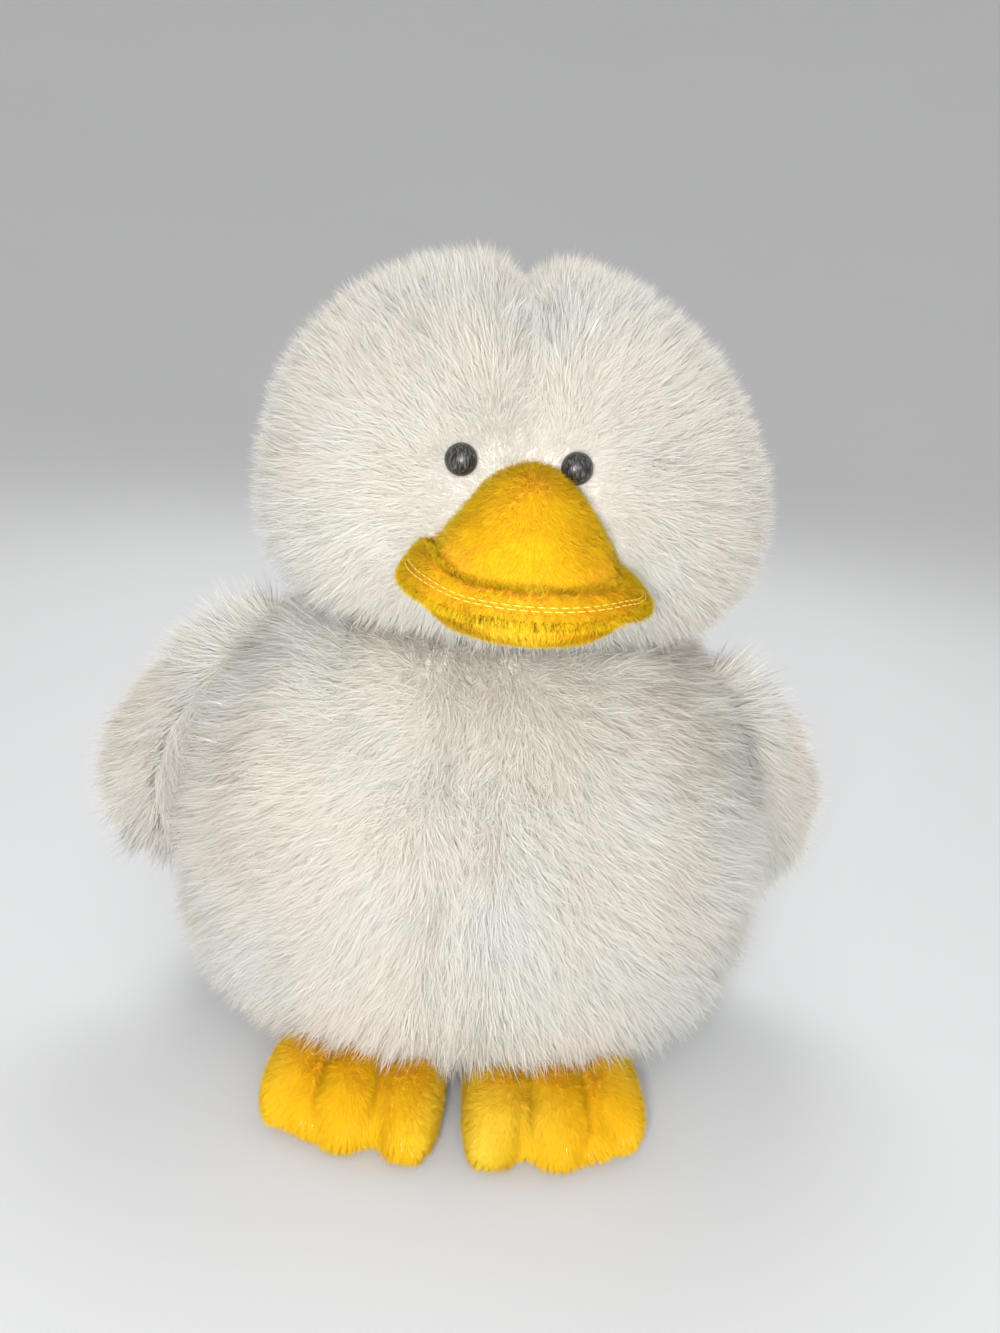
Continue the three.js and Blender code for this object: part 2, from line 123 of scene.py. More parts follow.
flat_radius = 0.7
bend_radius = 1.8
bend_degrees, bend_steps = 80, 17
bend = np.radians(np.linspace(0, bend_degrees, bend_steps))
profile = [(flat_radius + bend_radius * math.sin(b), bend_radius - bend_radius * math.cos(b)) for b in bend]
bowl_points, bowl_faces = lathed(0, profile, turns=64)
new_object("studio_bowl", bowl_points, bowl_faces, paper)


def soft_box(name, place, target, size, power, spread=math.pi):
    """Adds a flat lamp of this size, turned to a target, whose light fans out by this angle."""
    data = bpy.data.lights.new(name, "AREA")
    data.shape = "RECTANGLE"
    data.size, data.size_y = size
    data.energy = power
    data.spread = spread
    box = bpy.data.objects.new(name, data)
    aim = (target - place).to_track_quat("-Z", "Y").to_matrix().to_4x4()
    box.matrix_world = Matrix.Translation(place) @ aim
    bpy.context.scene.collection.objects.link(box)


duck_middle = Vector((0, 0, 0.11))
narrow = math.radians(90)
soft_box("key_light", Vector((0, -0.85, 0.65)), duck_middle, (0.7, 0.7), 2.5)
soft_box("fill_light", Vector((0, -1.2, 0.42)), duck_middle, (0.9, 0.35), 1.6, narrow)
soft_box("back_light", Vector((0, 0.9, 0.85)), duck_middle, (0.8, 0.5), 1.9, narrow)
soft_box("phone_light", eye_point + Vector((-0.02, 0, -0.02)), duck_middle, (0.03, 0.03), 0.27)

room = bpy.data.worlds.new("room")
bpy.context.scene.world = room
room.use_nodes = True
room.node_tree.nodes.clear()
room_light = {"Color": (1.0, 0.985, 0.96, 1), "Strength": 0.66}
room_light = wire(room.node_tree, "ShaderNodeBackground", room_light)
wire(room.node_tree, "ShaderNodeOutputWorld", {"Surface": room_light[0]})


# Torso: a full pear of white long-pile plush, stuffed firm. The cloth is the bag's knitted backing, blown
# up by its filling, and its pile stands in tufts that lie outwards from the seam down the front.
mm = 0.001
torso_half = (86 * mm, 69 * mm)
torso_waist = 38 * mm
torso_reach = (112 * mm, 38.5 * mm)  # up and down from the waist
torso_fullness = (2, 3)  # above and below it
neck_height = 125 * mm
pile_depth = 5 * mm
backing_inset = pile_depth + 0.5 * mm
pressed_pile = 1.6 * mm
bag_mesh = 5 * mm
bag_give = 1.5 * mm
front_seam_width = 7 * mm
front_seam_depth = 4 * mm


def filled_out(share, fullness):
    """Turns a sine or cosine into that of a rounder or a squarer curve."""
    return np.sign(share) * np.abs(share) ** (2 / fullness)


def ball_faces(around, rings):
    """The faces of a grid of rings from the top of a ball to its foot, whose two poles come last."""
    top, foot = around * (rings - 1), around * (rings - 1) + 1
    faces = []
    for i in range(around):
        j = (i + 1) % around
        faces.append((top, i, j))
        for k in range(rings - 2):
            faces.append((k * around + i, (k + 1) * around + i, (k + 1) * around + j, k * around + j))
        faces.append((foot, (rings - 2) * around + j, (rings - 2) * around + i))
    return faces


def bag(half, reach, fullness, inset=0.0, around=112, rings=64, plan=2):
    """Points and faces of a closed stuffed form about its widest level. half is its half width and half
    depth, reach goes up and down from there, fullness is how square it is above and below, and plan is how
    square it is from the top."""
    turn = np.arange(around) * 2 * math.pi / around
    tilt = math.pi * np.arange(1, rings) / rings
    up = np.cos(tilt)[:, None]
    out = np.sin(tilt)[:, None]
    full = np.where(up > 0, fullness[0], fullness[1])
    tall = np.where(up > 0, reach[0] - inset, reach[1] - inset)
    girth = filled_out(out, full)
    x = (half[0] - inset) * girth * filled_out(np.cos(turn), plan)
    y = (half[1] - inset) * girth * filled_out(np.sin(turn), plan)
    z = np.broadcast_to(tall * filled_out(up, full), x.shape)
    poles = [(0, 0, reach[0] - inset), (0, 0, inset - reach[1])]
    return np.vstack([np.stack([x, y, z], -1).reshape(-1, 3), *poles]), ball_faces(around, rings)


def points_of(made):
    points = np.empty(len(made.data.vertices) * 3)
    made.data.vertices.foreach_get("co", points)
    return points.reshape(-1, 3)


def normals_of(made):
    normals = np.empty(len(made.data.vertices) * 3)
    made.data.vertex_normals.foreach_get("vector", normals)
    return normals.reshape(-1, 3)


def place_points(made, points):
    made.data.vertices.foreach_set("co", points.ravel())
    made.data.update()


def settled(made):
    """Puts what an object's modifiers make of it in its mesh."""
    bpy.context.view_layer.update()
    mesh = bpy.data.meshes.new_from_object(made.evaluated_get(bpy.context.evaluated_depsgraph_get()))
    made.modifiers.clear()
    mesh.name = made.name
    mesh.shade_smooth()
    made.data = mesh


def stuff(made, mesh_size, give):
    """Makes a form a bag of cloth, remeshed at this size, and blows it up by at most this much."""
    blowing = 20
    weld = made.modifiers.new("weld", "REMESH")
    weld.mode = "VOXEL"
    weld.voxel_size = mesh_size
    settled(made)
    flat = points_of(made)
    cloth = made.modifiers.new("filling", "CLOTH")
    cloth.settings.use_pressure = True
    cloth.settings.uniform_pressure_force = 4
    cloth.settings.effector_weights.gravity = 0
    cloth.settings.tension_stiffness = 20
    cloth.settings.bending_stiffness = 1.5
    cloth.point_cache.frame_start = 1
    cloth.point_cache.frame_end = blowing
    for step in range(1, blowing + 1):
        bpy.context.scene.frame_set(step)
    settled(made)
    bpy.context.scene.frame_set(1)
    moved_by = points_of(made) - flat
    far = np.linalg.norm(moved_by, axis=1, keepdims=True)
    place_points(made, flat + moved_by * np.minimum(1, give / np.maximum(far, 1e-9)))
    ease = made.modifiers.new("ease", "SUBSURF")
    ease.levels = ease.render_levels = 1
    settled(made)


def rise_share(value, low, high):
    """0 below low, 1 above high, and smooth between them."""
    share = np.clip((value - low) / (high - low), 0, 1)
    return share * share * (3 - 2 * share)


def comb(made, lay, fall=1.0, thick=1.0):
    """Says how pile grows on a backing: which way it lies, and its shares of the full length and number."""
    normals = normals_of(made)
    lay = np.broadcast_to(lay, normals.shape)
    lay = lay - normals * np.sum(lay * normals, 1, keepdims=True)
    lay = lay / np.maximum(np.linalg.norm(lay, axis=1, keepdims=True), 1e-6)
    made.data.attributes.new("comb", "FLOAT_VECTOR", "POINT").data.foreach_set("vector", lay.ravel())
    for name, values in (("fall", fall), ("thick", thick)):
        values = np.array(np.broadcast_to(values, len(normals)), np.float32)
        made.data.attributes.new(name, "FLOAT", "POINT").data.foreach_set("value", values)


def sums(tree):
    """Functions that add sums of numbers and of vectors to a tree."""

    def number(operation, *values):
        return wire(tree, "ShaderNodeMath", dict(enumerate(values)), operation=operation)[0]

    def vector(operation, *values):
        node = wire(tree, "ShaderNodeVectorMath", dict(enumerate(values)), operation=operation)
        return node["Value" if operation in ("DOT_PRODUCT", "LENGTH") else "Vector"]

    def scaled(value, factor):
        return wire(tree, "ShaderNodeVectorMath", {0: value, "Scale": factor}, operation="SCALE")["Vector"]

    return number, vector, scaled


def build_pile_tree():
    """Cut pile: tapered strands scattered on a backing, combed by its attributes and drawn into tufts."""
    tree = bpy.data.node_groups.new("Cut pile", "GeometryNodeTree")
    face = tree.interface
    face.new_socket("Pile", in_out="OUTPUT", socket_type="NodeSocketGeometry")
    face.new_socket("Backing", in_out="INPUT", socket_type="NodeSocketGeometry")
    numbers = ("Strands per square metre", "Length", "Width", "Lift", "Lay", "Wander", "Wander size")
    numbers += ("Stray", "Tuft size", "Tuft pull", "Arch", "Floor")
    for name in numbers:
        face.new_socket(name, in_out="INPUT", socket_type="NodeSocketFloat")
    face.new_socket("Bends", in_out="INPUT", socket_type="NodeSocketInt")
    face.new_socket("Seed", in_out="INPUT", socket_type="NodeSocketInt")
    face.new_socket("Plush", in_out="INPUT", socket_type="NodeSocketMaterial")
    given = wire(tree, "NodeGroupInput")
    number, vector, scaled = sums(tree)

    def named(name, kind="FLOAT"):
        return wire(tree, "GeometryNodeInputNamedAttribute", {"Name": name}, data_type=kind)["Attribute"]

    def chance(low, high, salt):
        seed = number("ADD", given["Seed"], salt)
        sockets = {"Min": low, "Max": high, "Seed": seed}
        return in_use(wire(tree, "FunctionNodeRandomValue", sockets, data_type="FLOAT"), "Value")

    def store(geometry, name, value, kind, domain):
        sockets = {"Geometry": geometry, "Name": name, "Value": value}
        node = wire(tree, "GeometryNodeStoreNamedAttribute", sockets, data_type=kind, domain=domain)
        return node["Geometry"]

    # One strand, upright and one unit long, with its face towards -Y
    grid = {"Size X": 1.0, "Size Y": 1.0, "Vertices X": 2, "Vertices Y": number("ADD", given["Bends"], 2)}
    grid = wire(tree, "GeometryNodeMeshGrid", grid)
    place = wire(tree, "ShaderNodeSeparateXYZ", {0: wire(tree, "GeometryNodeInputPosition")[0]})
    along = number("ADD", place["Y"], 0.5)
    taper = number("SUBTRACT", 1.0, number("MULTIPLY", along, along))
    bow = number("MULTIPLY", along, number("SUBTRACT", 1.0, along))
    bow = number("MULTIPLY", bow, number("MULTIPLY", given["Arch"], -4.0))
    across = number("MULTIPLY", place["X"], taper)
    shape = wire(tree, "ShaderNodeCombineXYZ", {"X": across, "Y": bow, "Z": along})[0]
    strand = store(grid["Mesh"], "along", along, "FLOAT", "POINT")
    strand = store(strand, "across", number("ADD", place["X"], 0.5), "FLOAT", "POINT")
    strand = wire(tree, "GeometryNodeSetPosition", {"Geometry": strand, "Position": shape})["Geometry"]
    strand = wire(tree, "GeometryNodeMergeByDistance", {"Geometry": strand, "Distance": 0.001})["Geometry"]

    # Its root, and the way it lies
    spread = number("MULTIPLY", given["Strands per square metre"], named("thick"))
    scatter = {"Mesh": given["Backing"], "Density": spread, "Seed": given["Seed"]}
    scatter = wire(tree, "GeometryNodeDistributePointsOnFaces", scatter, distribute_method="RANDOM")
    roots = store(scatter["Points"], "skin", scatter["Normal"], "FLOAT_VECTOR", "POINT")
    roots = store(roots, "strand", chance(0.0, 1.0, 11), "FLOAT", "POINT")
    roots = store(roots, "cell", wire(tree, "GeometryNodeInputIndex")[0], "INT", "POINT")
    skin = named("skin", "FLOAT_VECTOR")
    root = wire(tree, "GeometryNodeInputPosition")[0]
    drift = wire(
        tree,
        "ShaderNodeTexNoise",
        {"Vector": root, "Scale": number("DIVIDE", 1.0, given["Wander size"]), "Detail": 2.0},
        noise_dimensions="3D",
    )["Color"]
    drift = scaled(vector("SUBTRACT", drift, (0.5, 0.5, 0.5)), given["Wander"])
    stray = {"Min": (-1, -1, -1), "Max": (1, 1, 1), "Seed": given["Seed"]}
    stray = wire(tree, "FunctionNodeRandomValue", stray, data_type="FLOAT_VECTOR")
    stray = in_use(stray, "Value")
    way = vector("ADD", scaled(skin, given["Lift"]), scaled(named("comb", "FLOAT_VECTOR"), given["Lay"]))
    way = vector("ADD", way, vector("ADD", drift, scaled(stray, given["Stray"])))
    length = number("MULTIPLY", number("MULTIPLY", given["Length"], named("fall")), chance(0.65, 1.15, 23))
    reach = scaled(vector("NORMALIZE", way), length)
    tufts = number("DIVIDE", 1.0, given["Tuft size"])
    tuft = wire(tree, "ShaderNodeTexVoronoi", {"Vector": root, "Scale": tufts})
    to_tuft = vector("SUBTRACT", tuft["Position"], root)
    to_tuft = vector("SUBTRACT", to_tuft, scaled(skin, vector("DOT_PRODUCT", to_tuft, skin)))
    reach = vector("ADD", reach, scaled(to_tuft, number("MULTIPLY", given["Tuft pull"], named("fall"))))
    side = vector("NORMALIZE", vector("CROSS_PRODUCT", reach, skin))
    other_side = vector("CROSS_PRODUCT", vector("NORMALIZE", reach), side)
    twist = chance(-0.5, 0.5, 37)
    side = vector("ADD", scaled(side, number("COSINE", twist)), scaled(other_side, number("SINE", twist)))
    stand = wire(
        tree,
        "FunctionNodeAxesToRotation",
        {"Primary Axis": reach, "Secondary Axis": side},
        primary_axis="Z",
        secondary_axis="X",
    )["Rotation"]
    reach_length = vector("LENGTH", reach)
    width = number("MULTIPLY", given["Width"], chance(0.7, 1.3, 41))
    size = wire(tree, "ShaderNodeCombineXYZ", {"X": width, "Y": reach_length, "Z": reach_length})[0]
    strands = {"Points": roots, "Instance": strand, "Rotation": stand, "Scale": size}
    strands = wire(tree, "GeometryNodeInstanceOnPoints", strands)["Instances"]
    pile = wire(tree, "GeometryNodeRealizeInstances", {"Geometry": strands})["Geometry"]

    # A square of the bake for each strand, which fills the middle of it
    filled, margin = 0.7, 0.15
    count = wire(tree, "GeometryNodeAttributeDomainSize", {"Geometry": roots}, component="POINTCLOUD")
    columns = number("CEIL", number("SQRT", count["Point Count"]))
    cell = named("cell", "INT")
    column = number("FLOORED_MODULO", cell, columns)
    row = number("FLOOR", number("DIVIDE", number("ADD", cell, 0.5), columns))
    u = number("ADD", column, number("MULTIPLY_ADD", named("across"), filled, margin))
    u = number("DIVIDE", u, columns)
    v = number("ADD", row, number("MULTIPLY_ADD", named("along"), filled, margin))
    v = number("DIVIDE", v, columns)
    uv = wire(tree, "ShaderNodeCombineXYZ", {"X": u, "Y": v})[0]
    pile = store(pile, "OFBake", uv, "FLOAT2", "CORNER")

    # Nothing goes through what the duck sits on
    spot = wire(tree, "ShaderNodeSeparateXYZ", {0: wire(tree, "GeometryNodeInputPosition")[0]})
    above = number("MAXIMUM", spot["Z"], given["Floor"])
    kept = wire(tree, "ShaderNodeCombineXYZ", {"X": spot["X"], "Y": spot["Y"], "Z": above})[0]
    pile = wire(tree, "GeometryNodeSetPosition", {"Geometry": pile, "Position": kept})["Geometry"]
    for name in ("comb", "fall", "thick", "cell", "across"):
        pile = wire(tree, "GeometryNodeRemoveAttribute", {"Geometry": pile, "Name": name})["Geometry"]
    pile = wire(tree, "GeometryNodeSetMaterial", {"Geometry": pile, "Material": given["Plush"]})["Geometry"]
    wire(tree, "NodeGroupOutput", {0: pile})
    return tree


pile_tree = build_pile_tree()


def feed(modifier, values):
    """Gives a tree's inputs their values by name."""
    for item in modifier.node_group.interface.items_tree:
        if item.in_out == "INPUT" and item.name in values:
            modifier[item.identifier] = values[item.name]


def grow(made, name, body, cut, parts=1):
    """Grows pile on a combed backing, as one plain mesh or several that share the strands. It moves with a
    body, and cut gives the tree's inputs."""
    for part in range(parts):
        grower = made.modifiers.new("pile", "NODES")
        grower.node_group = pile_tree
        density = cut["Strands per square metre"] / parts
        feed(grower, {**cut, "Strands per square metre": density, "Seed": part + 1})
        bpy.context.view_layer.update()
        dressed = made.evaluated_get(bpy.context.evaluated_depsgraph_get())
        mesh = bpy.data.meshes.new_from_object(dressed)
        made.modifiers.remove(grower)
        mesh.name = name if parts == 1 else f"{name}_{part + 1}"
        piece = bpy.data.objects.new(mesh.name, mesh)
        bpy.context.scene.collection.objects.link(piece)
        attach(piece, body)


def stands_for(made, body, slot, fill, *nodes):
    """Hides the parts of the model that a bag of cloth stands for, and makes it move with a body. slot and
    fill are not used.
    """
    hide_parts(*nodes)
    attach(made, body)


def build_strand_tint():
    """The colour of dyed pile: deeper at the root, with cooler and warmer patches, and strands that differ.
    In the yellow nap the deeper root is partly painted shade, the orange cast of shade deep in the nap. The
    first tenth of the strands is smoother."""
    tree = bpy.data.node_groups.new("Strand tint", "ShaderNodeTree")
    face = tree.interface
    for name in ("Root", "Tip", "Cool", "Warm"):
        face.new_socket(name, in_out="INPUT", socket_type="NodeSocketColor")
    for name in ("Strand spread", "Patch size", "Patch share"):
        face.new_socket(name, in_out="INPUT", socket_type="NodeSocketFloat")
    face.new_socket("Colour", in_out="OUTPUT", socket_type="NodeSocketColor")
    face.new_socket("Roughness", in_out="OUTPUT", socket_type="NodeSocketFloat")
    given = wire(tree, "NodeGroupInput")
    number, _, scaled = sums(tree)

    def blend(factor, a, b):
        node = wire(tree, "ShaderNodeMix", {"Factor": factor, "A": a, "B": b}, data_type="RGBA")
        return in_use(node, "Result")

    along = wire(tree, "ShaderNodeAttribute", attribute_name="along")["Fac"]
    strand = wire(tree, "ShaderNodeAttribute", attribute_name="strand")["Fac"]
    # Deeper at the root; in the yellow nap this is partly painted shade, the orange cast of shade deep in
    # the nap
    colour = blend(along, given["Root"], given["Tip"])
    spot = wire(tree, "ShaderNodeTexCoord")["Object"]
    cloud = wire(tree, "ShaderNodeTexNoise", {"Vector": spot, "Scale": given["Patch size"], "Detail": 2.0})
    cloud = wire(tree, "ShaderNodeSeparateColor", {0: cloud["Color"]})
    for channel, tint in (("Red", "Cool"), ("Green", "Warm")):
        share = wire(
            tree,
            "ShaderNodeMapRange",
            {"Value": cloud[channel], "From Min": 0.45, "From Max": 0.7, "To Max": given["Patch share"]},
        )
        colour = blend(share[0], colour, given[tint])
    shade = number("MULTIPLY_ADD", number("ADD", strand, -0.5), given["Strand spread"], 1.0)
    colour = scaled(colour, shade)
    rough = {"Value": strand, "From Max": 0.1, "To Min": 0.1, "To Max": 0.7}
    rough = wire(tree, "ShaderNodeMapRange", rough)
    wire(tree, "NodeGroupOutput", {"Colour": colour, "Roughness": rough[0]})
    return tree


strand_tint = build_strand_tint()


def plush(name, root, tip, cool, warm, spread, patch_share, gloss, sheen, through_share):
    """A material of pile strands, which shade between their own face and the skin that they stand on, and
    let this share of the light through. A few strands glint, each by its own face."""
    material, tree = new_material(name)
    number, vector, scaled = sums(tree)
    glinting = 0.08
    own_face, glint_face = 0.9, 3.0
    tints = {"Root": root, "Tip": tip, "Cool": cool, "Warm": warm}
    shares = {"Strand spread": spread, "Patch size": 24.0, "Patch share": patch_share}
    tint = wire(tree, "ShaderNodeGroup", {**tints, **shares}, node_tree=strand_tint)
    face = wire(tree, "ShaderNodeNewGeometry")["True Normal"]
    skin = wire(tree, "ShaderNodeAttribute", attribute_name="skin")["Vector"]
    skin = wire(tree, "ShaderNodeVectorTransform", {0: skin}, vector_type="NORMAL", convert_to="WORLD")[0]
    strand = wire(tree, "ShaderNodeAttribute", attribute_name="strand")["Fac"]
    glint = number("LESS_THAN", strand, glinting)
    own = scaled(face, number("MULTIPLY_ADD", glint, glint_face, own_face))
    normal = vector("NORMALIZE", vector("ADD", skin, own))
    shader = wire(
        tree,
        "ShaderNodeBsdfPrincipled",
        {
            "Base Color": tint["Colour"],
            "Roughness": tint["Roughness"],
            "Normal": normal,
            "Specular IOR Level": gloss,
            "Coat Weight": glint,
            "Coat Roughness": 0.17,
            "Sheen Weight": sheen,
            "Sheen Roughness": 0.5,
            "Sheen Tint": tip,
        },
    )
    inward = vector("REFLECT", scaled(normal, -1.0), face)
    through = {"Color": tint["Colour"], "Normal": inward}
    through = wire(tree, "ShaderNodeBsdfTranslucent", through)
    lit = wire(tree, "ShaderNodeMixShader", {0: through_share, 1: shader[0], 2: through[0]})
    wire(tree, "ShaderNodeOutputMaterial", {"Surface": lit[0]})
    return material


def mottled(name, low, high, scale, detail, roughness, relief=0.0):
    """A material between two colours that a fine noise mixes, with relief of this depth."""
    material, tree = new_material(name)
    spot = wire(tree, "ShaderNodeTexCoord")["Object"]
    noise = wire(tree, "ShaderNodeTexNoise", {"Vector": spot, "Scale": scale, "Detail": detail})["Fac"]
    colour = wire(tree, "ShaderNodeMix", {"Factor": noise, "A": low, "B": high}, data_type="RGBA")
    looks = {"Base Color": in_use(colour, "Result"), "Roughness": roughness}
    if relief:
        looks["Normal"] = wire(tree, "ShaderNodeBump", {"Height": noise, "Distance": relief})[0]
    shader = wire(tree, "ShaderNodeBsdfPrincipled", looks)
    wire(tree, "ShaderNodeOutputMaterial", {"Surface": shader[0]})
    return material


white_pile = plush(
    "white_long_pile",
    root=(0.87, 0.825, 0.74, 1),
    tip=(0.91, 0.88, 0.815, 1),
    cool=(0.84, 0.86, 0.83, 1),
    warm=(0.92, 0.85, 0.775, 1),
    spread=0.08,
    patch_share=0.7,
    gloss=0.3,
    sheen=0.4,
    through_share=0.35,
)
knit = {"scale": 900.0, "detail": 2.0, "roughness": 0.95, "relief": 0.6 * mm}
white_backing = mottled("white_backing", (0.84, 0.81, 0.75, 1), (0.90, 0.87, 0.82, 1), **knit)


def torso_side(points):
    """1 on the torso's outside, less within it."""
    high = points[:, 2] - torso_waist
    full = np.where(high > 0, torso_fullness[0], torso_fullness[1])
    tall = np.where(high > 0, torso_reach[0], torso_reach[1])
    girth = np.hypot(points[:, 0] / torso_half[0], points[:, 1] / torso_half[1])
    return (girth**full + np.abs(high / tall) ** full) ** (1 / full)


points, faces = bag(torso_half, torso_reach, torso_fullness, inset=backing_inset)
points[:, 2] = np.clip(points[:, 2] + torso_waist, pressed_pile, neck_height - mm)
torso = new_object("torso_cloth", points, faces, white_backing)
stuff(torso, bag_mesh, bag_give)
points = points_of(torso)
seam = np.exp(-((points[:, 0] / front_seam_width) ** 2)) * rise_share(-points[:, 1], 0, 20 * mm)
points[:, 1] += front_seam_depth * seam * rise_share(points[:, 2], 0, 30 * mm)
points[:, 2] = np.clip(points[:, 2], pressed_pile, neck_height - mm)
place_points(torso, points)

# Its pile lies down and away from the seam. It is fuller beside the wings and round the foot, and pressed
# flat below and under the head.
seam_parting, outward_lay, wing_fur = 0.7, 0.35, 0.35
sat_flat, sat_thin, head_press, hem_length = 0.7, 0.75, 0.2, 0.25
normals = normals_of(torso)
across = np.tanh(points[:, 0] / (10 * mm)) * rise_share(-points[:, 1], 10 * mm, 50 * mm)
lay = np.stack([seam_parting * across, 0 * across, -np.ones(len(points))], 1)
lay[:, :2] += outward_lay * points[:, :2] / torso_half[0]
beside = rise_share(np.abs(points[:, 0]), 50 * mm, 66 * mm) * rise_share(points[:, 2], 45 * mm, 65 * mm)
beside *= 1 - rise_share(points[:, 1], 0, 15 * mm)
lay[:, 0] += wing_fur * np.sign(points[:, 0]) * beside
sitting = rise_share(-normals[:, 2], 0.6, 0.95)
under_head = rise_share(points[:, 2], 114 * mm, 124 * mm)
hem = rise_share(-points[:, 2], -34 * mm, -8 * mm)
fall = (1 - sat_flat * sitting) * (1 - head_press * under_head) * (1 + hem_length * hem + wing_fur * beside)
comb(torso, lay, fall, 1 - sat_thin * sitting)
long_cut = {
    "Lift": 0.7,
    "Lay": 0.6,
    "Wander": 1.7,
    "Wander size": 20 * mm,
    "Stray": 0.35,
    "Tuft size": 4.5 * mm,
    "Tuft pull": 0.35,
    "Arch": 0.09,
    "Floor": 0.3 * mm,
    "Width": 0.22 * mm,
    "Plush": white_pile,
}
undercoat = {**long_cut, "Strands per square metre": 7.3e6, "Bends": 0}
topcoat = {**long_cut, "Strands per square metre": 2e6, "Bends": 1, "Lift": 1.0, "Tuft pull": 0.8}
grow(torso, "torso_undercoat", "torso", {**undercoat, "Length": 6.8 * mm}, parts=3)
grow(torso, "torso_topcoat", "torso", {**topcoat, "Length": 10 * mm}, parts=2)
stands_for(torso, "torso", "white_plush", 0.8, "torso_skin", "torso_stuffing", "pellet_pouch", "pellets")


# Head: a wide bag of the same plush with full cheeks. Its pile is brushed away from the bill and the eyes,
# up to a parting over the crown, and it is clipped short round the face.
head_half = (68 * mm, 56 * mm)
head_cheeks = 156 * mm
head_reach = (61 * mm, 42 * mm)  # up and down from the cheeks
head_fullness = (2, 2.6)
head_lean = 0.08
head_aside = 5 * mm
head_turn = math.radians(4)
head_place = Matrix.Translation((head_aside, 0, head_cheeks)) @ Matrix.Rotation(head_turn, 4, "Z")
bill_seam = -10 * mm  # from the cheeks
eye_above_bill = 24.8 * mm
eye_apart = 13.6 * mm
eyes_off_middle = 3 * mm
eye_splay, eye_tip = math.radians(16), math.radians(-8)
parting_width = 6 * mm
parting_depth = 7.5 * mm
parting_aside = 2.5 * mm


def moved(points, place):
    place = np.array(place)
    return points @ place[:3, :3].T + place[:3, 3]


def turned(vectors, place):
    return vectors @ np.array(place)[:3, :3].T


def face_reach(x, z):
    """How far in front of the head's axis its face is."""
    full, tall = (head_fullness[0], head_reach[0]) if z > 0 else (head_fullness[1], head_reach[1])
    girth = (1 - (abs(z) / tall) ** full) ** (1 / full)
    return head_half[1] * math.sqrt(girth**2 - (x / head_half[0]) ** 2)


eye_places = {}
for side, sign in (("left", 1), ("right", -1)):
    x, z = sign * eye_apart - eyes_off_middle, bill_seam + eye_above_bill
    eye_places[side] = (
        head_place
        @ Matrix.Translation((x, -face_reach(x, z), z))
        @ Matrix.Rotation(sign * eye_splay, 4, "Z")
        @ Matrix.Rotation(eye_tip, 4, "X")
    )

local, faces = bag(head_half, head_reach, head_fullness, inset=backing_inset)
local[:, 0] -= np.maximum(0, local[:, 2]) * head_lean
local[:, 2] = np.maximum(local[:, 2], neck_height + mm - head_cheeks)
head = new_object("head_cloth", moved(local, head_place), faces, white_backing)
stuff(head, bag_mesh, bag_give)
local = moved(points_of(head), head_place.inverted())
parting = np.where(local[:, 1] < 0, 1, np.clip(1 - local[:, 1] / head_half[1], 0, 1))
crown_line = local[:, 0] + np.maximum(0, local[:, 2]) * head_lean - parting_aside
parting *= np.clip(local[:, 2] / head_reach[0], 0, 1)
parting *= np.exp(-((crown_line / parting_width) ** 2))
local = local * (1 - parting_depth * parting[:, None] / np.linalg.norm(local, axis=1, keepdims=True))
local[:, 2] = np.maximum(local[:, 2], neck_height + mm - head_cheeks)
place_points(head, moved(local, head_place))

# Its pile lies away from the middle of the face, and down at the back
face_level = bill_seam + 14 * mm
face_middle = np.array((0, -face_reach(0, face_level), face_level))
away = local - face_middle
away = away / np.maximum(np.linalg.norm(away, axis=1, keepdims=True), 1e-6)
behind = rise_share(local[:, 1], -20 * mm, 30 * mm)[:, None]
lay = away * (1 - behind) + np.array((0, 0.25, -1.0)) * behind
lay[:, 0] += 0.6 * np.tanh(crown_line / (8 * mm)) * rise_share(local[:, 2], 20 * mm, 45 * mm)

# It is shortest next to the bill and the eyes
points = points_of(head)
eye_centres = [np.array(place.translation) for place in eye_places.values()]
to_eye = np.min([np.linalg.norm(points - centre, axis=1) for centre in eye_centres], 0)
dome_foot, dome_height, dome_spread, lip_spread = 4 * mm, 24 * mm, 20 * mm, 27 * mm
bill_top, bill_bottom = 27 * mm, 8 * mm
bill_edge = np.where(
    local[:, 2] > bill_seam + dome_foot,
    dome_spread * np.sqrt(np.clip(1 - (local[:, 2] - bill_seam - dome_foot) / dome_height, 0, 1)),
    lip_spread,
)
to_bill = np.hypot(
    np.maximum(0, np.abs(local[:, 0]) - bill_edge),
    np.maximum(0, np.maximum(local[:, 2] - bill_seam - bill_top, bill_seam - bill_bottom - local[:, 2])),
)
to_bill = np.where(local[:, 1] < 0, to_bill, 1)
fall = (0.5 + 0.5 * rise_share(to_eye, 4 * mm, 18 * mm)) * (0.35 + 0.65 * rise_share(to_bill, 0, 16 * mm))
fall = fall * (0.85 + 0.25 * rise_share(-local[:, 2], -20 * mm, 25 * mm)) * (1 - 0.4 * parting)
thick = rise_share(to_eye, 2.0 * mm, 3.3 * mm) * (1 + 0.8 * (1 - rise_share(fall, 0.3, 0.8)))
comb(head, turned(lay, head_place), fall, thick)
head_cut = {"Lay": 0.55, "Wander": 1.6, "Wander size": 15 * mm}
grow(head, "head_undercoat", "torso", {**undercoat, **head_cut, "Length": 6.6 * mm}, parts=2)
grow(head, "head_topcoat", "torso", {**topcoat, **head_cut, "Length": 9 * mm}, parts=2)
stands_for(head, "torso", "white_plush", 0.85, "head_skin", "head_stuffing")


# Wings: each is a leaf of two plush panels back to back, sewn into the side seam by its root, so that it
# hangs a little behind the arm line and swings. The pile runs down it and ends in loose locks.
def pushed_out(points, least):
    """Moves out what lies within this share of the torso's outside."""
    points[:, :2] *= np.maximum(1, least / np.maximum(torso_side(points), 0.3))[:, None]
    return points


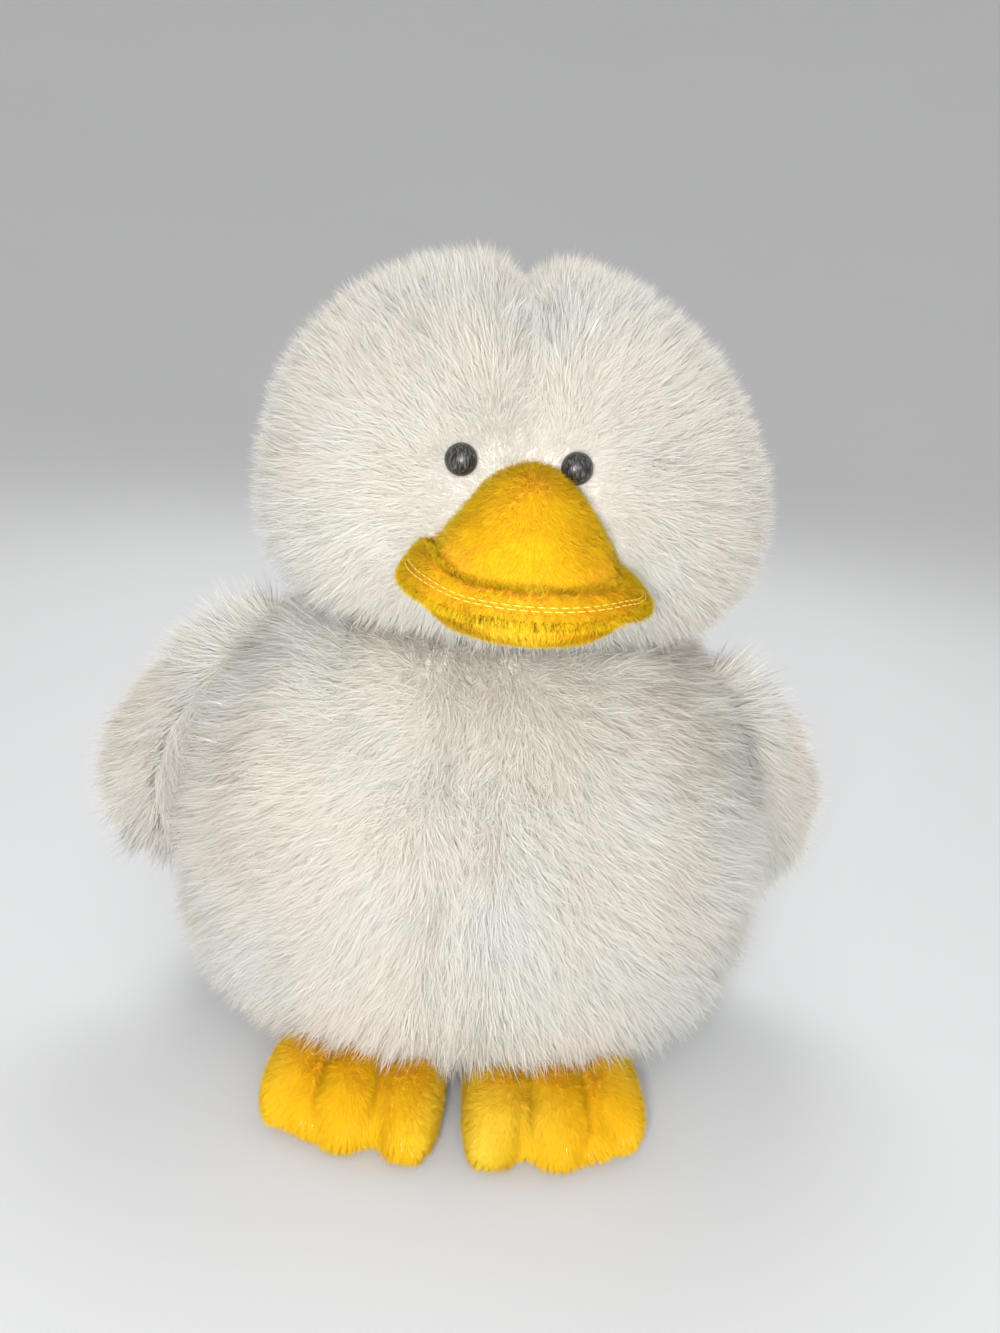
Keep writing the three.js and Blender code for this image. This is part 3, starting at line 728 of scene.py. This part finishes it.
wing_half = (27.5 * mm, 11 * mm)
wing_reach = (61 * mm, 31 * mm)  # up and down from its widest level
wing_drop = 44 * mm  # from the root to that level
wing_fullness = (1.5, 2.2)
wing_inset = 3.5 * mm
root_out = 2.3 * mm
root_in = 6 * mm
wing_mesh, wing_give = 2.5 * mm, 1 * mm
swing_in, swing_out = 12, -30
clear_swung, clear_at_rest, clear_softened = 0.96, 0.98, 0.975  # of the torso's outside
wings = {"wing_left": (1, 102 * mm, 20, 17), "wing_right": (-1, 110 * mm, 35, 1)}
for name, (sign, seam_height, swept, trailing) in wings.items():
    above = seam_height - torso_waist
    side_reach = torso_half[0] * math.sqrt(1 - (above / torso_reach[0]) ** 2)
    tilt = math.atan(torso_half[0] ** 2 * above / (torso_reach[0] ** 2 * side_reach))
    root = (sign * (side_reach + root_out * math.cos(tilt)), 0, seam_height + root_out * math.sin(tilt))
    seam = Matrix.Translation(root) @ Matrix.Rotation(-sign * tilt, 4, "Y")
    at_rest = seam @ Matrix.Rotation(sign * math.radians(swept), 4, "Z")
    place = (
        at_rest
        @ Matrix.Rotation(math.radians(trailing), 4, "X")
        @ Matrix.Translation((-sign * root_in, 0, -wing_drop))
    )
    local, faces = bag(wing_half, wing_reach, wing_fullness, wing_inset, around=72, rings=72)
    inner = np.clip(-sign * local[:, 0] / (24 * mm) + 0.2, 0, 1)
    local[:, 0] *= 1 + 0.15 * rise_share(inner, 0.2, 1.2)
    local[:, 1] *= 1 - 0.5 * inner
    wing = new_object(f"{name}_cloth", moved(local, place), faces, white_backing)
    stuff(wing, wing_mesh, wing_give)

    # Flattened wherever it would push into the torso over its swing
    points = moved(points_of(wing), at_rest.inverted())
    for angle in (*np.linspace(swept + swing_in, swing_out, 8), swept):
        swung = seam @ Matrix.Rotation(sign * math.radians(angle), 4, "Z")
        points = pushed_out(moved(points, swung), clear_at_rest if angle == swept else clear_swung)
        points = moved(points, swung.inverted())
    place_points(wing, moved(points, at_rest))
    soften = wing.modifiers.new("soften", "SMOOTH")
    soften.iterations = 12
    settled(wing)
    points = pushed_out(points_of(wing), clear_softened)
    place_points(wing, points)

    # Its pile runs over the shoulder, down the leaf and out towards the edge
    on_leaf = moved(points, place.inverted())
    shoulder = rise_share(on_leaf[:, 2], 12 * mm, 45 * mm)
    edge = rise_share(-on_leaf[:, 2], 0, 25 * mm) + shoulder
    shown = rise_share(torso_side(points), 0.95, 1.04)
    outward = np.tanh((sign * on_leaf[:, 0] - 5 * mm) / (18 * mm))
    down = np.stack([sign * (0.5 * outward + 0.5 * shoulder), 0 * shown, shoulder - 1], 1)
    comb(wing, turned(down, place), (0.8 + 0.3 * edge) * (0.85 + 0.15 * shown), 1.3 - 0.3 * shown)
    wing_cut = {"Lift": 0.6, "Lay": 0.8, "Tuft size": 5.5 * mm, "Tuft pull": 0.7}
    grow(wing, f"{name}_undercoat", name, {**undercoat, **wing_cut, "Length": 8 * mm})
    grow(wing, f"{name}_topcoat", name, {**topcoat, **wing_cut, "Length": 12.5 * mm})
    stands_for(wing, name, "white_plush", 0.4, name)


# Tail: a small stub of the same plush, sewn on low at the back. It stands up and away from the torso, and
# its pile runs out to its tip.
tail_height = 52 * mm
tail_rise = math.radians(38)
tail_sunk = 8 * mm
tail_root = torso_half[1] * math.sqrt(1 - ((tail_height - torso_waist) / torso_reach[0]) ** 2) - tail_sunk
tail_place = Matrix.Translation((0, tail_root, tail_height))
tail_place = tail_place @ Matrix.Rotation(tail_rise - math.pi / 2, 4, "X")
tail_half = (19 * mm, 11.5 * mm)
tail_reach = (35 * mm, 8 * mm)  # out and in from its widest level
tail_fullness = (1.6, 2)
local, faces = bag(tail_half, tail_reach, tail_fullness, pile_depth, around=48, rings=40)
tail = new_object("tail_cloth", moved(local, tail_place), faces, white_backing)
stuff(tail, wing_mesh, wing_give)
comb(tail, turned(np.array([(0, 0, 1.0)]), tail_place))
grow(tail, "tail_undercoat", "torso", {**undercoat, "Length": 7 * mm})
grow(tail, "tail_topcoat", "torso", {**topcoat, "Length": 9.5 * mm})
stands_for(tail, "torso", "white_plush", 0.5, "tail")


# Upper bill: short-pile yellow plush. It is a stuffed dome on a broad lip that turns up round its edge,
# with two rows of paler top-stitching along the lip.
bill_half_width = 28 * mm
bill_reach = 31 * mm
bill_root = 24 * mm
dome_half_width = 20.5 * mm
dome_reach = 21 * mm
dome_rise = 21.3 * mm
lip_rise = 3.4 * mm
lip_under = 3 * mm
nap = 0.9 * mm
stitch_share = 0.93  # of the way to the lip's edge
stitch_dent, stitch_sink = 0.03, 0.3 * mm
crease_share, crease_width = 0.66, 0.09
roll_share, roll_width = 0.84, 0.11
face_at_bill = face_reach(0, bill_seam)

short_pile = {"spread": 0.16, "patch_share": 0.6, "gloss": 0.1, "sheen": 0.4, "through_share": 0.05}
# Its more orange root is partly painted shade: the orange cast of shade deep in the nap
yellow_pile = plush(
    "yellow_short_pile",
    root=(1.0, 0.48, 0.004, 1),
    tip=(1.0, 0.74, 0.02, 1),
    cool=(1.0, 0.80, 0.06, 1),
    warm=(1.0, 0.58, 0.008, 1),
    **short_pile,
)
# The feet's own deeper yellow, which on the lower bill is painted shade
deep_yellow_pile = plush(
    "deep_yellow_short_pile",
    root=(1.0, 0.50, 0.005, 1),
    tip=(1.0, 0.67, 0.02, 1),
    cool=(1.0, 0.76, 0.08, 1),
    warm=(1.0, 0.55, 0.008, 1),
    **short_pile,
)
yellow_backing = mottled("yellow_backing", (0.92, 0.44, 0.015, 1), (0.96, 0.52, 0.02, 1), **knit)


def bill_height(x, y, plan):
    """How high the upper bill's top is over its seam, at this place and this share of its plan."""
    dome = 1 - np.abs(x / dome_half_width) ** 2 - np.abs(np.minimum(0, y) / dome_reach) ** 1.7
    roll = 2.6 * mm + 2.2 * mm * rise_share(-x, 12 * mm, 24 * mm)
    roll -= 1.2 * mm * rise_share(x, 14 * mm, 26 * mm)
    roll *= np.exp(-(((plan - roll_share) / roll_width) ** 2))
    return np.sqrt(np.maximum(0, 1 - plan**6)) * (lip_rise + dome_rise * np.maximum(0, dome) + roll)


def bill_droop(x):
    """How far the lip hangs at one corner, and turns up at the other."""
    return 1.8 * mm * rise_share(x, 18 * mm, 28 * mm) - 0.7 * mm * rise_share(-x, 14 * mm, 26 * mm)


around, rings = 200, 120
turn = np.arange(around) * 2 * math.pi / around
tilt = (math.pi * np.arange(1, rings) / rings)[:, None]
plan = np.sin(tilt) * np.ones(around)
x = plan * np.cos(turn) * (bill_half_width - nap)
y = plan * np.sin(turn) * np.where(np.sin(turn) < 0, bill_reach - nap, bill_root)
on_top = tilt < math.pi / 2
stitched = np.exp(-(((plan - stitch_share) / stitch_dent) ** 2)) * on_top * rise_share(-y, 0, 4 * mm)
underside = (nap - lip_under) * np.sqrt(np.maximum(0, 1 - plan**6))
z = np.where(on_top, bill_height(x, y, plan) - nap, underside)
z -= stitch_sink * stitched + bill_droop(x)
local = np.stack([x, y, z], -1).reshape(-1, 3)
poles = [(0, 0, lip_rise + dome_rise - nap), (0, 0, nap - lip_under)]
local = np.vstack([local, *poles]) + (0, -face_at_bill, bill_seam)
bill = new_object("bill_upper_cloth", moved(local, head_place), ball_faces(around, rings), yellow_backing)


def with_poles(values):
    """One value for each point of the bill's rings, and none for its two poles."""
    return np.append(values.ravel(), (0, 0))


# Its nap lies forwards and down, outwards to the corners, and straight down on the dome. It is shorter and
# thinner in the crease round the dome and along the stitches.
forwards = turned(np.array([(0, -0.8, -0.6)]), head_place)
to_corner = turned(np.array([(1.0, 0, 0)]), head_place)
down_dome = turned(np.array([(0, 0.4, -1.0)]), head_place)
crease = np.exp(-(((plan - crease_share) / crease_width) ** 2)) * on_top * rise_share(-y, -2 * mm, 6 * mm)
crease *= 1 + 0.6 * rise_share(np.abs(x), 9 * mm, 15 * mm)
flattened = 1 - 0.35 * with_poles(stitched + crease)
sideways = 0.6 * with_poles(x / bill_half_width)[:, None] * to_corner
on_dome = (1 - rise_share(with_poles(plan), 0.62, 0.74))[:, None] * down_dome
comb(bill, forwards + sideways + on_dome, flattened, flattened)
short_cut = {
    "Strands per square metre": 2.2e7,
    "Length": 2.3 * mm,
    "Width": 0.17 * mm,
    "Lift": 0.6,
    "Lay": 0.75,
    "Wander": 1.1,
    "Wander size": 7 * mm,
    "Stray": 0.2,
    "Tuft size": 1.6 * mm,
    "Tuft pull": 0.6,
    "Arch": 0.05,
    "Floor": 0.2 * mm,
    "Bends": 0,
    "Plush": yellow_pile,
}
grow(bill, "bill_upper_nap", "torso", short_cut)
stands_for(bill, "torso", "yellow_plush", 0.8, "bill_upper", "bill_stuffing")


def build_stitch_tree():
    """A row of stitches laid end to end along a line, each a rounded bar."""
    tree = bpy.data.node_groups.new("Row of stitches", "GeometryNodeTree")
    face = tree.interface
    face.new_socket("Stitches", in_out="OUTPUT", socket_type="NodeSocketGeometry")
    face.new_socket("Line", in_out="INPUT", socket_type="NodeSocketGeometry")
    for name in ("Pitch", "Length", "Thickness"):
        face.new_socket(name, in_out="INPUT", socket_type="NodeSocketFloat")
    face.new_socket("Thread", in_out="INPUT", socket_type="NodeSocketMaterial")
    given = wire(tree, "NodeGroupInput")
    line = wire(tree, "GeometryNodeMeshToCurve", {"Mesh": given["Line"]})["Curve"]
    spots = {"Curve": line, "Length": given["Pitch"]}
    spots = wire(tree, "GeometryNodeCurveToPoints", spots, mode="LENGTH")
    bar = wire(tree, "GeometryNodeMeshUVSphere", {"Segments": 8, "Rings": 6, "Radius": 0.5})["Mesh"]
    size = {"X": given["Thickness"], "Y": given["Thickness"], "Z": given["Length"]}
    size = wire(tree, "ShaderNodeCombineXYZ", size)[0]
    bars = {"Points": spots["Points"], "Instance": bar, "Rotation": spots["Rotation"], "Scale": size}
    bars = wire(tree, "GeometryNodeInstanceOnPoints", bars)
    row = wire(tree, "GeometryNodeRealizeInstances", {"Geometry": bars["Instances"]})["Geometry"]
    row = wire(tree, "GeometryNodeSetMaterial", {"Geometry": row, "Material": given["Thread"]})["Geometry"]
    wire(tree, "NodeGroupOutput", {0: row})
    return tree


thread = mottled(
    "pale_thread", (0.95, 0.57, 0.05, 1), (1.0, 0.68, 0.13, 1), scale=3000.0, detail=1.0, roughness=0.45
)
line_points, line_edges = [], []
line_steps = 120
row_apart = 0.011
row_lift = 0.2 * mm
for row_share in (stitch_share - row_apart, stitch_share + row_apart):
    turn = np.radians(np.linspace(188, 352, line_steps))
    x = row_share * np.cos(turn) * bill_half_width
    y = row_share * np.sin(turn) * bill_reach
    z = bill_height(x, y, np.full(line_steps, row_share)) - bill_droop(x) - nap + row_lift
    start = len(line_points)
    line_points += list(moved(np.stack([x, y - face_at_bill, z + bill_seam], -1), head_place))
    line_edges += [(start + i, start + i + 1) for i in range(line_steps - 1)]
stitching = new_object("bill_top_stitching", line_points, [], edges=line_edges)
sewer = stitching.modifiers.new("stitches", "NODES")
sewer.node_group = build_stitch_tree()
feed(sewer, {"Pitch": 2.3 * mm, "Length": 1.9 * mm, "Thickness": 0.36 * mm, "Thread": thread})
settled(stitching)
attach(stitching, "torso")


# Lower bill: a flat pad of the same plush in a deeper yellow, sewn on under the upper one. The deeper
# yellow is painted shade, the orange cast of the shade under the upper bill. Its top is pressed flat
# against the lip.
jaw_half = (22 * mm, 26 * mm)
jaw_reach = (7 * mm, 7 * mm)
jaw_fullness, jaw_plan = (2.2, 2.2), 2.1
jaw_middle = bill_seam - 3.3 * mm
jaw_top = bill_seam - 3.6 * mm
local, faces = bag(jaw_half, jaw_reach, jaw_fullness, nap, around=96, rings=48, plan=jaw_plan)
local += (0, -face_at_bill, jaw_middle)
local[:, 2] = np.minimum(local[:, 2], jaw_top)
jaw = new_object("bill_lower_cloth", moved(local, head_place), faces, yellow_backing)
comb(jaw, forwards)
# Painted shade: the deeper yellow stands for the shade under the upper bill
grow(jaw, "bill_lower_nap", "torso", {**short_cut, "Plush": deep_yellow_pile})
stands_for(jaw, "torso", "yellow_plush", 0.6, "bill_lower")


# Eyes: glossy black domes of moulded plastic with a rim, scuffed by handling. Each sits on a shank that
# goes through the cloth.
eye_black, eye_tree = new_material("eye_plastic")
eye_spot = wire(eye_tree, "ShaderNodeTexCoord")["Object"]
eye_stretch = {"Vector": eye_spot, "Rotation": (0.3, 0.8, 0.5), "Scale": (1.0, 1.0, 0.18)}
eye_stretch = wire(eye_tree, "ShaderNodeMapping", eye_stretch)
eye_scuff = {"Vector": eye_stretch[0], "Scale": 2600.0, "Detail": 4.0}
eye_scuff = wire(eye_tree, "ShaderNodeTexNoise", eye_scuff)["Fac"]
eye_mask = wire(eye_tree, "ShaderNodeMapRange", {"Value": eye_scuff, "From Min": 0.46, "From Max": 0.7})
eye_colour = {"Factor": eye_mask[0], "A": (0.012, 0.012, 0.013, 1), "B": (0.13, 0.12, 0.11, 1)}
eye_colour = wire(eye_tree, "ShaderNodeMix", eye_colour, data_type="RGBA")
eye_rough = wire(eye_tree, "ShaderNodeMapRange", {"Value": eye_scuff, "To Min": 0.16, "To Max": 0.5})
eye_bump = {"Height": eye_mask[0], "Distance": 0.03 * mm, "Strength": 0.5}
eye_bump = wire(eye_tree, "ShaderNodeBump", eye_bump)
eye_shader = wire(
    eye_tree,
    "ShaderNodeBsdfPrincipled",
    {
        "Base Color": in_use(eye_colour, "Result"),
        "Roughness": eye_rough[0],
        "Normal": eye_bump[0],
        "Coat Weight": 0.15,
        "Coat Roughness": 0.04,
    },
)
wire(eye_tree, "ShaderNodeOutputMaterial", {"Surface": eye_shader[0]})

eye_radius = 3.6 * mm
eye_dome = 2.9 * mm
eye_rim = 3.5 * mm
eye_back = 4.3 * mm
rim_round = 0.15 * mm
shank_radius = 1.5 * mm
shank_end = 13 * mm
lean = np.linspace(0, math.pi / 2, 12)
dome_profile = [(eye_radius * math.sin(a), eye_dome * math.cos(a) - eye_rim) for a in lean]
dome_profile += [(eye_radius, -eye_back + rim_round), (eye_radius - rim_round, -eye_back)]
dome_profile += [(shank_radius, -eye_back), (shank_radius, -shank_end)]
turns = 40
points, faces = lathed(dome_profile[0][1], dome_profile[1:], turns)
points = np.array([(x, -z, y) for x, y, z in points] + [(0, shank_end, 0)])
faces = [(face[0], *face[:0:-1]) for face in faces]
end = len(points) - 1
faces += [(end - turns + i, end - turns + (i + 1) % turns, end) for i in range(turns)]
for side, place in eye_places.items():
    eye = new_object(f"eye_{side}_button", moved(points, place), faces, eye_black)
    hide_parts(f"eye_{side}")
    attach(eye, "torso")


# Feet: stuffed bags of the same short pile in a deeper yellow, sewn under the belly along the heel. Two
# channels stitched through each one part it into three toes.
foot_cut = {**short_cut, "Length": 2.4 * mm, "Plush": deep_yellow_pile}
heel_line = -43.5 * mm
foot_middle = 8.5 * mm
foot_turn = math.radians(6)
sole_form = ((20.5 * mm, 25 * mm), (10.5 * mm, 9 * mm))
toe_form = ((8.9 * mm, 22 * mm), (11.5 * mm, 9 * mm))
foot_fullness = (2.3, 3)
foot_mesh, foot_give = 1.5 * mm, 0.8 * mm
foot_apart, feet_aside = 23.9, 2.3
sole_plan, toe_plan = 3.6, 3.2
toe_apart = 12.9 * mm
sole_ahead, toe_ahead, outer_toe_ahead = -10.5 * mm, -15.5 * mm, -11 * mm
channel_out = 6.4 * mm
channel_width = 1.1 * mm
channel_depth = 2.2 * mm
for side, sign in (("left", 1), ("right", -1)):
    foot_place = Matrix.Translation(((sign * foot_apart + feet_aside) * mm, heel_line, 0))
    foot_place = foot_place @ Matrix.Rotation(sign * foot_turn, 4, "Z")
    forms = [(*sole_form, 0, sole_ahead, sole_plan)]
    forms += [(*toe_form, k, outer_toe_ahead if k == sign else toe_ahead, toe_plan) for k in (-1, 0, 1)]
    all_points, all_faces, count = [], [], 0
    for half, reach, fan, ahead, plan in forms:
        local, faces = bag(half, reach, foot_fullness, nap + 0.3 * mm, around=48, rings=32, plan=plan)
        toe_place = (
            Matrix.Translation((fan * toe_apart, 0, foot_middle))
            @ Matrix.Rotation(fan * foot_turn, 4, "Z")
            @ Matrix.Translation((0, ahead, 0))
        )
        all_points.append(moved(local, toe_place))
        all_faces += [tuple(count + i for i in face) for face in faces]
        count += len(local)
    points = moved(np.vstack(all_points), foot_place)
    foot = new_object(f"foot_{side}_cloth", points, all_faces, yellow_backing)
    stuff(foot, foot_mesh, foot_give)
    local = moved(points_of(foot), foot_place.inverted())
    channel = channel_out - 0.05 * (local[:, 1] + 20 * mm)
    to_channel = np.min([np.abs(local[:, 0] - k * channel) for k in (-1, 1)], 0)
    groove = np.exp(-((to_channel / channel_width) ** 2)) * rise_share(local[:, 1], -36 * mm, -29 * mm)
    groove *= rise_share(local[:, 2], 6 * mm, 12 * mm)
    local[:, 2] -= channel_depth * groove
    points = moved(local, foot_place)
    points[:, 2] = np.maximum(points[:, 2], nap)
    place_points(foot, points)

    # Its nap lies forwards and down, longer round the toes' tips, and stops where the torso covers the foot
    shown = rise_share(torso_side(points), 0.93, 1.0)
    fringe = rise_share(-local[:, 1], 24 * mm, 33 * mm) * rise_share(-local[:, 2], -9 * mm, -4 * mm)
    everywhere = np.ones(len(local))
    lay = np.stack([0.6 * np.tanh(local[:, 0] / (14 * mm)), -0.6 * everywhere, -1.0 * everywhere], 1)
    comb(foot, turned(lay, foot_place), (1 - 0.5 * groove) * (1 + 0.5 * fringe), shown)
    grow(foot, f"foot_{side}_nap", f"foot_{side}", foot_cut)
    stands_for(foot, f"foot_{side}", "yellow_plush", 0.7, f"foot_{side}_skin", f"foot_{side}_stuffing")


# Lock washers: pressed on the eyes' shanks inside the head, where they hold the eyes to the cloth. They
# keep the frame's own shape and get milky nylon.
nylon = mottled(
    "nylon", (0.72, 0.72, 0.68, 1), (0.82, 0.82, 0.79, 1), scale=300.0, detail=2.0, roughness=0.45
)
for side in ("left", "right"):
    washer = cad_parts[f"eye_washer_{side}"]
    washer.data.materials.clear()
    washer.data.materials.append(nylon)
